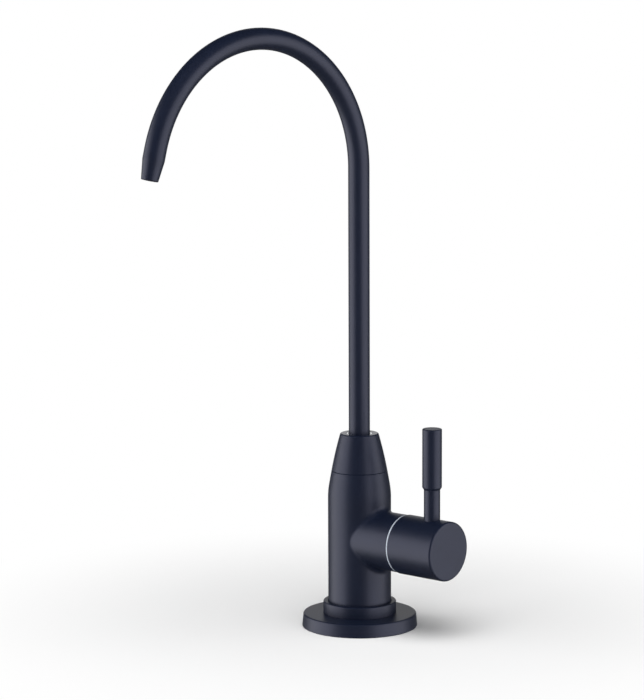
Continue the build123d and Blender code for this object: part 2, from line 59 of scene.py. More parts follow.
jointAt = {joint["name"]: joint for joint in frame["joints"]}
handleZ = jointAt["handle_turn"]["pos_m"][2] / mm
bodyLow, bodyHigh = measured("valve_body")
hubLow, hubHigh = measured("handle_hub")
leverLow, leverHigh = measured("lever")
leverX = (leverLow.x + leverHigh.x) / 2
shankLow, shankHigh = measured("threaded_shank")


# Small helpers
def linear(hexColour):
    # sRGB hex to the linear values that the shaders take
    channels = [int(hexColour[i:i + 2], 16) / 255 for i in (1, 3, 5)]
    return [c / 12.92 if c <= 0.04045 else ((c + 0.055) / 1.055) ** 2.4 for c in channels] + [1]


def addNode(tree, kind, links=None, **settings):
    # One node, its settings, and its sockets, fed by values, by sockets, or by nodes, each of which
    # stands for its own first output
    node = tree.nodes.new(kind)
    for key, value in settings.items():
        setattr(node, key, value)
    for socket, source in (links or {}).items():
        if isinstance(source, bpy.types.Node):
            source = source.outputs[0]
        if isinstance(source, bpy.types.NodeSocket):
            tree.links.new(source, node.inputs[socket])
        else:
            node.inputs[socket].default_value = source
    return node


def newMaterial(name):
    material = bpy.data.materials.new(name)
    material.use_nodes = True
    tree = material.node_tree
    tree.nodes.clear()
    return material, tree, addNode(tree, "ShaderNodeTexCoord").outputs["Object"]


def perMetre(sizeInMm):
    # A noise scale whose features are about this size
    return 1 / (sizeInMm * mm)


def finishSurface(tree, look, bumps, colourFrom=None, roughFrom=None, sockets=None):
    # The end of each material: one pattern blends the look's two colours, one spreads its
    # roughness, and the bumps, each a pattern and its depth, lie one on another
    links = {"Base Color": linear(look["colour"]), **(sockets or {})}
    if colourFrom is not None:
        links["Base Color"] = addNode(tree, "ShaderNodeMix",
                                      {"Factor": colourFrom, "A": linear(look["colour"]),
                                       "B": linear(look["otherColour"])},
                                      data_type="RGBA").outputs["Result"]
    if roughFrom is not None:
        links["Roughness"] = addNode(tree, "ShaderNodeMapRange",
                                     {"Value": roughFrom, "To Min": look["roughness"][0],
                                      "To Max": look["roughness"][1]})
    for pattern, depthMm in bumps:
        under = {"Normal": links["Normal"]} if "Normal" in links else {}
        links["Normal"] = addNode(tree, "ShaderNodeBump",
                                  {"Height": pattern, "Distance": depthMm * mm, **under})
    shader = addNode(tree, "ShaderNodeBsdfPrincipled", links)
    addNode(tree, "ShaderNodeOutputMaterial", {"Surface": shader})


# Polyester powder coat on brass: baked satin black with a blue cast. The eye sees broad soft
# highlights, no tool marks, and a faint orange peel where a highlight fades out.
powderCoatLook = {
    "colour": "#0d1322",
    "otherColour": "#111829",
    "sheenColour": "#e4e5ff",
    "roughness": (0.40, 0.47),
    "smoothRoughness": 0.26,    # on the cone nut's top face, which the photo shows lighter
    "smoothFadeMm": 0.1,
    "cloudMm": 9,
    "peelMm": 1.5,         # real peel is about 1 mm, drawn a little coarser so that it shows
    "peelDepthMm": 0.004,
    "gritMm": 0.3,         # the powder's own grain
    "gritDepthMm": 0.0012,
    "gritSpread": (0.3, 0.7),   # where most of the grain's noise lies
}


def powderCoat(name="satinPowderCoat", smoothFrom=None):
    # smoothFrom is the height, in millimetres, from which the coat lies smoother
    look = powderCoatLook
    material, tree, place = newMaterial(name)
    peel = addNode(tree, "ShaderNodeTexNoise",
                   {"Vector": place, "Scale": perMetre(look["peelMm"]), "Detail": 2})
    grit = addNode(tree, "ShaderNodeTexNoise",
                   {"Vector": place, "Scale": perMetre(look["gritMm"]), "Detail": 3})
    cloud = addNode(tree, "ShaderNodeTexNoise",
                    {"Vector": place, "Scale": perMetre(look["cloudMm"]), "Detail": 3})
    roughness = addNode(tree, "ShaderNodeMapRange",
                        {"Value": grit, "From Min": look["gritSpread"][0],
                         "From Max": look["gritSpread"][1], "To Min": look["roughness"][0],
                         "To Max": look["roughness"][1]})
    if smoothFrom is not None:
        height = addNode(tree, "ShaderNodeSeparateXYZ", {"Vector": place}).outputs["Z"]
        smooth = addNode(tree, "ShaderNodeMapRange",
                         {"Value": height, "From Min": (smoothFrom - look["smoothFadeMm"]) * mm,
                          "From Max": smoothFrom * mm})
        roughness = addNode(tree, "ShaderNodeMix",
                            {"Factor": smooth, "A": roughness, "B": look["smoothRoughness"]},
                            data_type="FLOAT")
    finishSurface(tree, look, [(peel, look["peelDepthMm"]), (grit, look["gritDepthMm"])], colourFrom=cloud,
                  sockets={"Roughness": roughness, "IOR": 1.5, "Specular Tint": linear(look["sheenColour"])})
    return material


# Bright chrome over nickel on brass: mirror-like, with a trace of the lathe's rings
chromeLook = {"colour": "#dcdee1", "roughness": (0.06, 0.12), "markMm": 0.25, "markDepthMm": 0.0003}


def polishedChrome():
    look = chromeLook
    material, tree, place = newMaterial("polishedChromePlate")
    marks = addNode(tree, "ShaderNodeTexNoise",
                    {"Vector": place, "Scale": perMetre(look["markMm"]), "Detail": 2})
    finishSurface(tree, look, [(marks, look["markDepthMm"])], roughFrom=marks, sockets={"Metallic": 1})
    return material


# Free-cutting brass, turned and left bare: yellow metal with fine rings from the tool
brassLook = {"colour": "#e2c88c", "otherColour": "#c5a56a", "roughness": (0.26, 0.38), "tarnishMm": 6,
             "ringMm": 0.22, "ringDepthMm": 0.004, "ringStretch": (0.06, 0.06, 1)}


def turnedBrass():
    look = brassLook
    material, tree, place = newMaterial("turnedBrass")
    stretch = addNode(tree, "ShaderNodeMapping", {"Vector": place, "Scale": look["ringStretch"]})
    rings = addNode(tree, "ShaderNodeTexNoise",
                    {"Vector": stretch, "Scale": perMetre(look["ringMm"]), "Detail": 2})
    tarnish = addNode(tree, "ShaderNodeTexNoise",
                      {"Vector": place, "Scale": perMetre(look["tarnishMm"]), "Detail": 5})
    finishSurface(tree, look, [(rings, look["ringDepthMm"])], tarnish, tarnish, {"Metallic": 1})
    return material


# Zinc-plated spring steel: grey and slightly milky, with a faint spangle
zincLook = {"colour": "#b4b8bd", "otherColour": "#9a9fa6", "roughness": (0.32, 0.46), "spangleMm": 1.2,
            "grainMm": 0.2, "grainDepthMm": 0.002}


def zincSteel():
    look = zincLook
    material, tree, place = newMaterial("zincPlatedSteel")
    spangle = addNode(tree, "ShaderNodeTexVoronoi",
                      {"Vector": place, "Scale": perMetre(look["spangleMm"])}).outputs["Color"]
    grain = addNode(tree, "ShaderNodeTexNoise",
                    {"Vector": place, "Scale": perMetre(look["grainMm"]), "Detail": 3})
    finishSurface(tree, look, [(grain, look["grainDepthMm"])], spangle, grain, {"Metallic": 1})
    return material


# Moulded EPDM rubber: dull black with the mould's fine spark-eroded grain
rubberLook = {"colour": "#19191a", "otherColour": "#262627", "roughness": (0.68, 0.82), "bloomMm": 7,
              "grainMm": 0.35, "grainDepthMm": 0.01}


def mouldedRubber():
    look = rubberLook
    material, tree, place = newMaterial("mouldedEpdmRubber")
    grain = addNode(tree, "ShaderNodeTexNoise",
                    {"Vector": place, "Scale": perMetre(look["grainMm"]), "Detail": 4})
    bloom = addNode(tree, "ShaderNodeTexNoise",
                    {"Vector": place, "Scale": perMetre(look["bloomMm"]), "Detail": 4})
    finishSurface(tree, look, [(grain, look["grainDepthMm"])], bloom, grain, {"IOR": 1.52})
    return material


# Sintered alumina, lapped: off-white, close-grained and slightly glossy
ceramicLook = {"colour": "#ece7dc", "otherColour": "#dcd5c6", "roughness": (0.18, 0.3),
               "grainMm": 0.15, "grainDepthMm": 0.0006}


def lappedCeramic():
    look = ceramicLook
    material, tree, place = newMaterial("lappedAluminaCeramic")
    grain = addNode(tree, "ShaderNodeTexNoise",
                    {"Vector": place, "Scale": perMetre(look["grainMm"]), "Detail": 4})
    finishSurface(tree, look, [(grain, look["grainDepthMm"])], grain, grain, {"IOR": 1.76})
    return material


# Moulded acetal: matt pale plastic with a cool cast, a fine light line round the branch
acetalLook = {"colour": "#b0b8c4", "roughness": (0.34, 0.44), "grainMm": 0.4, "grainDepthMm": 0.002}


def mouldedAcetal():
    look = acetalLook
    material, tree, place = newMaterial("mouldedAcetal")
    grain = addNode(tree, "ShaderNodeTexNoise",
                    {"Vector": place, "Scale": perMetre(look["grainMm"]), "Detail": 3})
    finishSurface(tree, look, [(grain, look["grainDepthMm"])], roughFrom=grain, sockets={"IOR": 1.48})
    return material


materialOf = {
    "black_coat": powderCoat(),
    "bright_chrome": polishedChrome(),
    "plain_brass": turnedBrass(),
    "zinc_steel": zincSteel(),
    "black_rubber": mouldedRubber(),
    "valve_ceramic": lappedCeramic(),
    "white_acetal": mouldedAcetal(),
}
slotOf = {row["node"]: row["material_slot"] for row in frame["record"]["subparts"]}
bodyOf = {node: body for body, nodes in frame["record"]["behaviour"]["bodies"].items()
          for node in nodes}
print("materials made:", len(materialOf))


# Profiles, in millimetres: points of (distance from the axis, distance along it)
def rounded(corners, closed=True, steps=6, hold=0.12):
    # A third value at a corner is its rounding. A point just past each rounding holds the flat
    # beside it flat when it is shaded smooth.
    points = []
    for i, corner in enumerate(corners):
        here = Vector(corner[:2])
        rounding = corner[2] if len(corner) > 2 else 0
        if not rounding:
            points.append(tuple(here))
            continue
        back = Vector(corners[i - 1][:2]) - here
        ahead = Vector(corners[(i + 1) % len(corners)][:2]) - here
        half = back.angle(ahead) / 2
        reach = rounding / tan(half)
        start = here + back.normalized() * reach
        end = here + ahead.normalized() * reach
        centre = here + (back.normalized() + ahead.normalized()).normalized() * rounding / sin(half)
        if back.length > reach + 1.5 * hold:
            points.append(tuple(start + back.normalized() * hold))
        fromCentre, toCentre = start - centre, end - centre
        sweep = fromCentre.angle_signed(toCentre)
        for step in range(steps + 1):
            turned = fromCentre.copy()
            turned.rotate(Matrix.Rotation(-sweep * step / steps, 2))
            points.append(tuple(centre + turned))
        if ahead.length > reach + 1.5 * hold:
            points.append(tuple(end + ahead.normalized() * hold))
    if closed:
        points.append(points[0])
    return points


def ringProfile(innerR, outerR, low, high, edge):
    # A plain ring, with all four corners rounded alike
    return rounded([(innerR, low, edge), (outerR, low, edge), (outerR, high, edge), (innerR, high, edge)])


def tangentArc(start, direction, end, steps):
    # Points of the arc that leaves start along direction and reaches end, with its last direction
    start, end = Vector(start), Vector(end)
    direction = Vector(direction).normalized()
    side = Vector((-direction.y, direction.x))
    chord = end - start
    across = chord.dot(side)
    radius = chord.length_squared / (2 * across)
    centre = start + side * radius
    first = start - centre
    sweep = 2 * atan2(across, chord.dot(direction))
    points = []
    for step in range(1, steps + 1):
        turned = first.copy()
        turned.rotate(Matrix.Rotation(sweep * step / steps, 2))
        points.append(tuple(centre + turned))
    last = direction.copy()
    last.rotate(Matrix.Rotation(sweep, 2))
    return points, last


def along(start, end, spacing):
    # Evenly spaced points between two points, without the ends
    start, end = Vector(start), Vector(end)
    count = max(1, round((end - start).length / spacing))
    return [tuple(start.lerp(end, k / count)) for k in range(1, count)]


def threadRows(radius, low, high, pitch, depth, rowsPerTurn=8):
    # Rows up a right-handed thread. Each point also holds the depth there, which fades out over
    # one turn at both ends, and the turns made so far.
    rows = round((high - low) / pitch * rowsPerTurn)
    points = []
    for row in range(rows + 1):
        z = low + (high - low) * row / rows
        fade = min(1, (z - low) / pitch, (high - z) / pitch)
        points.append((radius, z, depth * fade, z / pitch))
    return points


# Geometry Nodes: each tree takes a mesh, named inputs and a material, and gives a painted mesh
def newTree(name, shapeName, inputs):
    tree = bpy.data.node_groups.new(name, "GeometryNodeTree")
    tree.interface.new_socket(shapeName, in_out="INPUT", socket_type="NodeSocketGeometry")
    for label, kind, value in inputs:
        socket = tree.interface.new_socket(label, in_out="INPUT", socket_type="NodeSocket" + kind)
        socket.default_value = value
    tree.interface.new_socket("Material", in_out="INPUT", socket_type="NodeSocketMaterial")
    tree.interface.new_socket("Mesh", in_out="OUTPUT", socket_type="NodeSocketGeometry")
    return tree, addNode(tree, "NodeGroupInput").outputs


def finishTree(tree, shape, given):
    real = addNode(tree, "GeometryNodeRealizeInstances", {"Geometry": shape})
    painted = addNode(tree, "GeometryNodeSetMaterial", {"Geometry": real, "Material": given["Material"]})
    addNode(tree, "NodeGroupOutput", {0: painted})


# A profile turned about a line. The line may bend once, hexagons are a round profile cut at its
# flats, and a thread is a wave that climbs one pitch for each turn.
def buildTurnedTree():
    tree, given = newTree("turnedAlongLine", "Profile", (
        ("Segments", "Int", 96),
        ("Straight before bend", "Float", 0),
        ("Bend radius", "Float", 1),
        ("Bend angle", "Float", 0),
        ("Across flats", "Float", 10),
        ("Place", "Vector", (0, 0, 0)),
        ("Turn", "Rotation", (0, 0, 0)),
    ))
    count = addNode(tree, "GeometryNodeAttributeDomainSize", {0: given["Profile"]}).outputs["Point Count"]
    columns = addNode(tree, "FunctionNodeIntegerMath", {0: given["Segments"], 1: 1}, operation="ADD")
    grid = addNode(tree, "GeometryNodeMeshGrid", {"Vertices X": columns, "Vertices Y": count})
    index = addNode(tree, "GeometryNodeInputIndex").outputs[0]
    row = addNode(tree, "FunctionNodeIntegerMath", {0: index, 1: count}, operation="MODULO")
    column = addNode(tree, "FunctionNodeIntegerMath", {0: index, 1: count}, operation="DIVIDE_FLOOR")
    share = addNode(tree, "ShaderNodeMath", {0: column, 1: given["Segments"]}, operation="DIVIDE")
    angle = addNode(tree, "ShaderNodeMath", {0: share, 1: 2 * pi}, operation="MULTIPLY")

    position = addNode(tree, "GeometryNodeInputPosition").outputs[0]
    point = addNode(tree, "GeometryNodeSampleIndex",
                    {"Geometry": given["Profile"], "Value": position, "Index": row},
                    data_type="FLOAT_VECTOR")
    point = addNode(tree, "ShaderNodeSeparateXYZ", {0: point})
    stored = addNode(tree, "GeometryNodeInputNamedAttribute", {"Name": "thread"},
                     data_type="FLOAT_VECTOR").outputs[0]
    thread = addNode(tree, "GeometryNodeSampleIndex",
                     {"Geometry": given["Profile"], "Value": stored, "Index": row},
                     data_type="FLOAT_VECTOR")
    thread = addNode(tree, "ShaderNodeSeparateXYZ", {0: thread})

    # The thread's wave runs from 0 at a crest to 1 at a root
    phase = addNode(tree, "ShaderNodeMath", {0: thread.outputs["Y"], 1: share}, operation="SUBTRACT")
    wave = addNode(tree, "ShaderNodeMath", {0: phase, 1: 0.5}, operation="PINGPONG")
    wave = addNode(tree, "ShaderNodeMath", {0: wave, 1: 2}, operation="MULTIPLY")
    cut = addNode(tree, "ShaderNodeMath", {0: wave, 1: thread.outputs["X"]}, operation="MULTIPLY")
    radius = addNode(tree, "ShaderNodeMath", {0: point.outputs["X"], 1: cut}, operation="SUBTRACT")

    # A hexagon's flat is this far away at this angle
    fromFlat = addNode(tree, "ShaderNodeMath", {0: angle, 1: pi / 6, 2: -pi / 6}, operation="WRAP")
    lean = addNode(tree, "ShaderNodeMath", {0: fromFlat}, operation="COSINE")
    apothem = addNode(tree, "ShaderNodeMath", {0: given["Across flats"], 1: 0.5}, operation="MULTIPLY")
    flat = addNode(tree, "ShaderNodeMath", {0: apothem, 1: lean}, operation="DIVIDE")
    radius = addNode(tree, "ShaderNodeMath", {0: radius, 1: flat}, operation="MINIMUM")

    # How far round the bend this row is, and the row's height before that turn
    past = addNode(tree, "ShaderNodeMath", {0: point.outputs["Z"], 1: given["Straight before bend"]},
                   operation="SUBTRACT")
    bent = addNode(tree, "ShaderNodeMath", {0: past, 1: given["Bend radius"]}, operation="DIVIDE")
    bent = addNode(tree, "ShaderNodeClamp", {"Value": bent, "Min": 0, "Max": given["Bend angle"]})
    used = addNode(tree, "ShaderNodeMath", {0: bent, 1: given["Bend radius"]}, operation="MULTIPLY")
    height = addNode(tree, "ShaderNodeMath", {0: point.outputs["Z"], 1: used}, operation="SUBTRACT")

    ray = addNode(tree, "ShaderNodeCombineXYZ", {"X": radius, "Z": height})
    spun = addNode(tree, "ShaderNodeVectorRotate", {"Vector": ray, "Angle": angle}, rotation_type="Z_AXIS")
    pivot = addNode(tree, "ShaderNodeCombineXYZ",
                    {"X": given["Bend radius"], "Z": given["Straight before bend"]})
    bentAway = addNode(tree, "ShaderNodeVectorRotate",
                       {"Vector": spun, "Center": pivot, "Angle": bent},
                       rotation_type="Y_AXIS")
    shaped = addNode(tree, "GeometryNodeSetPosition",
                     {"Geometry": grid.outputs["Mesh"], "Position": bentAway})
    placed = addNode(tree, "GeometryNodeTransform",
                     {"Geometry": shaped, "Translation": given["Place"],
                      "Rotation": given["Turn"]})
    closed = addNode(tree, "GeometryNodeMergeByDistance", {"Geometry": placed, "Distance": seamGap * mm})
    smooth = addNode(tree, "GeometryNodeSetShadeSmooth", {"Geometry": closed})
    finishTree(tree, smooth, given)
    return tree


turnedTree = buildTurnedTree()


def outward(mesh):
    # A closed shell whose faces point in has a negative volume
    shell = bmesh.new()
    shell.from_mesh(mesh)
    if shell.calc_volume(signed=True) < 0:
        bmesh.ops.reverse_faces(shell, faces=shell.faces)
        shell.to_mesh(mesh)
    shell.free()


def runTree(name, mesh, tree, inputs):
    # Runs a node tree on a mesh and keeps its result as a plain object
    piece = bpy.data.objects.new(name, mesh)
    bpy.context.scene.collection.objects.link(piece)
    modifier = piece.modifiers.new(tree.name, "NODES")
    modifier.node_group = tree
    identifier = {s.name: s.identifier for s in tree.interface.items_tree if s.in_out == "INPUT"}
    for key, value in inputs.items():
        modifier[identifier[key]] = value
    settled = bpy.context.evaluated_depsgraph_get()
    settled.update()
    result = bpy.data.meshes.new_from_object(piece.evaluated_get(settled))
    piece.modifiers.clear()
    piece.data = result
    result.name = name
    outward(result)
    return piece


def dress(piece, node, sharpAngle=32):
    # A finished piece stands for its CAD node, on the same body and slot
    piece.data.set_sharp_from_angle(angle=radians(sharpAngle))
    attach(piece, bodyOf[node])
    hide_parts(node)
    return piece


def turned(node, profile, segments=96, place=(0, 0, 0), turn=(0, 0, 0), **inputs):
    # place is in millimetres and turn in degrees
    mesh = bpy.data.meshes.new(node + "Profile")
    mesh.from_pydata([(p[0] * mm, 0, p[1] * mm) for p in profile],
                     [(k, k + 1) for k in range(len(profile) - 1)], [])
    thread = mesh.attributes.new("thread", "FLOAT_VECTOR", "POINT")
    for k, p in enumerate(profile):
        if len(p) > 2:
            thread.data[k].vector = (p[2] * mm, p[3], 0)
    inputs = {key.replace("_", " "): value for key, value in inputs.items()}
    return runTree(node + "Turned", mesh, turnedTree, {
        "Segments": segments,
        "Place": [v * mm for v in place],
        "Turn": [radians(v) for v in turn],
        "Material": materialOf[slotOf[node]],
        **inputs,
    })


# Base plate: drafted wall, softly rounded rim, and a small foot rounding that the photo shows
flangeSizes = {"draft": 0.5, "rimRound": 0.7, "footRound": 0.35, "lip": 4.0, "hole": 6.0,
               "innerEdge": 0.1}
flangeHigh = measured("base_flange")[1]
gasketTop = measured("deck_gasket")[1].z
recessR = flangeHigh.x - flangeSizes["lip"]
dress(turned("base_flange", rounded([
    (recessR, 0, flangeSizes["innerEdge"]),
    (flangeHigh.x, 0, flangeSizes["footRound"]),
    (flangeHigh.x - flangeSizes["draft"], flangeHigh.z, flangeSizes["rimRound"]),
    (flangeSizes["hole"], flangeHigh.z, flangeSizes["innerEdge"]),
    (flangeSizes["hole"], gasketTop, flangeSizes["innerEdge"]),
    (recessR, gasketTop, flangeSizes["innerEdge"]),
]), segments=160), "base_flange")

# Gasket: rubber ring, flush in the plate's recess
gasketSizes = {"edge": 0.15}
gasketR = measured("deck_gasket")[1].x
dress(turned("deck_gasket", ringProfile(
    flangeSizes["hole"], gasketR, 0, gasketTop, gasketSizes["edge"]), segments=128), "deck_gasket")

# Collar: the body's foot stands in it, with a fine dark gap round the foot
collarSizes = {"edge": 0.5, "innerEdge": 0.15, "footEdge": 0.1, "gap": 0.15}
collarLow, collarHigh = measured("base_collar")
dress(turned("base_collar", rounded([
    (collarHigh.x, collarLow.z, collarSizes["footEdge"]),
    (collarHigh.x, collarHigh.z, collarSizes["edge"]),
    (bodyHigh.y + collarSizes["gap"], collarHigh.z, collarSizes["innerEdge"]),
    (bodyHigh.y + collarSizes["gap"], bodyLow.z),
    (flangeSizes["hole"], bodyLow.z),
    (flangeSizes["hole"], collarLow.z),
]), segments=144), "base_collar")
print("base made")

# Valve body: its outline is a foot, a straight wall and two tangent arcs up to the seam
bodySizes = {
    "footEdge": 0.4,
    "straight": 51.4,
    "shoulder": (6.0, 0.51),     # height, and how far it draws in
    "taper": (6.4, 1.65),
    "seamEdge": 0.2,
    "edgeHold": 0.1,             # width of the ring kept flat beside an edge
    "spigotR": 10.0,
    "branchR": 13.0,
    "branchEdge": 0.12,
    "blendR": 3.0,
    "columns": 128,
    "windowColumns": 30,         # half the width of the opening in the wall for the branch
    "windowLow": 18.0,           # how far the opening reaches below the branch's axis
    "windowHigh": 17.4,
    "windowRows": 28,
    "fillRings": 5,
    "blendRings": 8,
    "branchRings": 9,
}
bodyR = bodyHigh.y
branchEnd = bodyHigh.x
shoulderZ = bodyLow.z + bodySizes["straight"]
shoulderTop = (bodyR - bodySizes["shoulder"][1], shoulderZ + bodySizes["shoulder"][0])
seam = (bodyR - bodySizes["taper"][1], shoulderTop[1] + bodySizes["taper"][0])
shoulderPoints, shoulderEnd = tangentArc((bodyR, shoulderZ), (0, 1), shoulderTop, 6)
taperPoints, taperEnd = tangentArc(shoulderTop, shoulderEnd, seam, 8)


def bodySkin():
    # The wall is a grid of columns and rows with an opening. The opening's rim is drawn in, on the
    # wall, to the curve where a rolling ball of the blend's radius touches it, then the ball's
    # arcs lead to the branch.
    s = bodySizes
    low, high = handleZ - s["windowLow"], handleZ + s["windowHigh"]
    profile = rounded([(0, bodyLow.z), (bodyR, bodyLow.z, s["footEdge"]), (bodyR, low)],
                      closed=False)[:-1]
    firstRow = len(profile)
    profile += [(bodyR, low)] + along((bodyR, low), (bodyR, high), (high - low) / s["windowRows"])
    lastRow = len(profile)
    profile += [(bodyR, high), (bodyR, shoulderZ)] + shoulderPoints + taperPoints[:-1]
    slope = Vector(taperEnd)
    below = Vector(seam) - slope * s["seamEdge"]
    profile[-1:] = [profile[-1], tuple(below)]
    seamR = seam[0] - s["seamEdge"]
    profile += [(seamR, seam[1]), (seamR - s["edgeHold"], seam[1])]
    profile += [(s["spigotR"], seam[1]), (s["spigotR"], bodyHigh.z), (0, bodyHigh.z)]

    mesh = bmesh.new()
    columns, half = s["columns"], s["windowColumns"]
    step = 2 * pi / columns
    rows = []
    for r, z in profile:
        if r == 0:
            pole = mesh.verts.new((0, 0, z * mm))
            rows.append([pole] * columns)
            continue
        rows.append([mesh.verts.new((r * cos(k * step) * mm, r * sin(k * step) * mm, z * mm))
                     for k in range(columns)])
    inWindow = set(range(-half, half))
    for i in range(len(rows) - 1):
        for k in range(columns):
            signed = k if k < columns / 2 else k - columns
            if firstRow <= i < lastRow and signed in inWindow:
                continue
            ahead = (k + 1) % columns
            corners = [rows[i][k], rows[i][ahead], rows[i + 1][ahead], rows[i + 1][k]]
            mesh.faces.new(list(dict.fromkeys(corners)))

    rim = [(firstRow, k) for k in range(-half, half)]
    rim += [(i, half) for i in range(firstRow, lastRow)]
    rim += [(lastRow, k) for k in range(half, -half, -1)]
    rim += [(i, -half) for i in range(lastRow, firstRow, -1)]

    ball, branch = bodyR + s["blendR"], s["branchR"] + s["blendR"]
    rings = [[rows[i][k % columns] for i, k in rim]]
    starts = [(profile[i][1] - handleZ, k * step) for i, k in rim]
    thetas = [atan2(z, bodyR * turn) for z, turn in starts]
    centres = [(sqrt(ball ** 2 - (branch * cos(t)) ** 2), branch * cos(t), branch * sin(t))
               for t in thetas]
    for ring in range(1, s["fillRings"]):
        share = ring / s["fillRings"]
        points = []
        for (z, turn), (x, y, high) in zip(starts, centres):
            wallTurn = turn + (atan2(y, x) - turn) * share
            wallZ = z + (high - z) * share
            points.append((bodyR * cos(wallTurn), bodyR * sin(wallTurn), wallZ))
        rings.append(points)
    for ring in range(s["blendRings"] + 1):
        points = []
        for t, centre in zip(thetas, centres):
            centre = Vector(centre)
            onBody = Vector((centre.x, centre.y, 0)) * (bodyR / ball) + Vector((0, 0, centre.z))
            onBranch = Vector((centre.x, s["branchR"] * cos(t), s["branchR"] * sin(t)))
            swept = (onBody - centre).slerp(onBranch - centre, ring / s["blendRings"])
            points.append(tuple(centre + swept * s["blendR"]))
        rings.append(points)
    wallEnd = branchEnd - s["branchEdge"]
    for ring in range(1, s["branchRings"] + 1):
        share = ring / s["branchRings"]
        rings.append([(c[0] + (wallEnd - c[0]) * share, s["branchR"] * cos(t), s["branchR"] * sin(t))
                      for t, c in zip(thetas, centres)])
    for inset in (s["branchEdge"], s["branchEdge"] + s["edgeHold"]):
        r = s["branchR"] - inset
        rings.append([(branchEnd, r * cos(t), r * sin(t)) for t in thetas])

    made = [rings[0]]
    for points in rings[1:]:
        made.append([mesh.verts.new((x * mm, y * mm, (z + handleZ) * mm)) for x, y, z in points])
    for inner, outer in zip(made[1:], made):
        for k in range(len(rim)):
            ahead = (k + 1) % len(rim)
            mesh.faces.new([outer[k], outer[ahead], inner[ahead], inner[k]])
    tip = mesh.verts.new((branchEnd * mm, 0, handleZ * mm))
    for k in range(len(rim)):
        mesh.faces.new([made[-1][k], made[-1][(k + 1) % len(rim)], tip])
    bmesh.ops.recalc_face_normals(mesh, faces=mesh.faces)
    skin = bpy.data.meshes.new("valve_bodyTurned")
    mesh.to_mesh(skin)
    mesh.free()
    outward(skin)
    skin.polygons.foreach_set("use_smooth", [True] * len(skin.polygons))
    piece = bpy.data.objects.new("valve_bodyTurned", skin)
    bpy.context.scene.collection.objects.link(piece)
    return piece


def cleaned(mesh, least=0.002 * mm):
    # A cut leaves slivers where its edge runs close to a corner. They are merged, and every face is
    # made triangles, without a flat one.
    shell = bmesh.new()
    shell.from_mesh(mesh)
    bmesh.ops.remove_doubles(shell, verts=shell.verts, dist=least)
    bmesh.ops.dissolve_degenerate(shell, edges=shell.edges, dist=least)
    bmesh.ops.triangulate(shell, faces=shell.faces, quad_method="BEAUTY", ngon_method="BEAUTY")
    bmesh.ops.dissolve_degenerate(shell, edges=shell.edges, dist=least)
    shell.to_mesh(mesh)
    shell.free()


drillPast = 1    # how far, in millimetres, a drill runs past the face or the hole that it opens into


def drilled(piece, holes, segments=96):
    # Cuts round holes: each is (start, end, radius), its ends being points in millimetres
    for start, end, radius in holes:
        start, end = Vector(start) * mm, Vector(end) * mm
        drill = bmesh.new()
        way = end - start
        aim = way.to_track_quat("Z", "Y").to_matrix().to_4x4()
        bmesh.ops.create_cone(drill, cap_ends=True, segments=segments, radius1=radius * mm,
                              radius2=radius * mm, depth=way.length,
                              matrix=Matrix.Translation((start + end) / 2) @ aim)
        cutter = bpy.data.meshes.new("drill")
        drill.to_mesh(cutter)
        drill.free()
        tool = bpy.data.objects.new("drill", cutter)
        bpy.context.scene.collection.objects.link(tool)
        modifier = piece.modifiers.new("hole", "BOOLEAN")
        modifier.operation = "DIFFERENCE"
        modifier.solver = "EXACT"
        modifier.object = tool
        settled = bpy.context.evaluated_depsgraph_get()
        settled.update()
        cut = bpy.data.meshes.new_from_object(piece.evaluated_get(settled))
        piece.modifiers.clear()
        piece.data = cut
        bpy.data.objects.remove(tool)
    piece.data.name = piece.name
    cleaned(piece.data)
    return piece


# The waterways: up from the shank, along to the cartridge, and from its chamber to the spout
waterways = {
    "shankSocket": (5.6, 12.0),      # radius and depth
    "inlet": 2.4,
    "seat": (2.1, 4.0),              # radius, and where the cartridge's floor is
    "chamber": 9.0,
    "outlet": (1.6, 5.3, 1.5),       # radius, place along the branch, and its start in the chamber
    "spoutSocket": (7.0, 20.5),
}


def waterwayHoles():
    w = waterways
    shankTop = bodyLow.z + w["shankSocket"][1]
    spoutFloor = bodyHigh.z - w["spoutSocket"][1]
    seatX, outletX = w["seat"][1], w["outlet"][1]
    outletStart = handleZ + w["chamber"] - w["outlet"][2]
    return [
        ((0, 0, bodyLow.z - drillPast), (0, 0, shankTop), w["shankSocket"][0]),
        ((0, 0, spoutFloor), (0, 0, bodyHigh.z + drillPast), w["spoutSocket"][0]),
        ((seatX, 0, handleZ), (branchEnd + drillPast, 0, handleZ), w["chamber"]),
        ((0, 0, shankTop - drillPast), (0, 0, handleZ + w["inlet"]), w["inlet"]),
        ((0, 0, handleZ), (seatX + drillPast, 0, handleZ), w["seat"][0]),
        ((outletX, 0, outletStart), (outletX, 0, spoutFloor + drillPast), w["outlet"][0]),
    ]


valveBody = drilled(bodySkin(), waterwayHoles())
valveBody.data.materials.clear()
valveBody.data.materials.append(materialOf["black_coat"])
dress(valveBody, "valve_body")
print("valve body made")

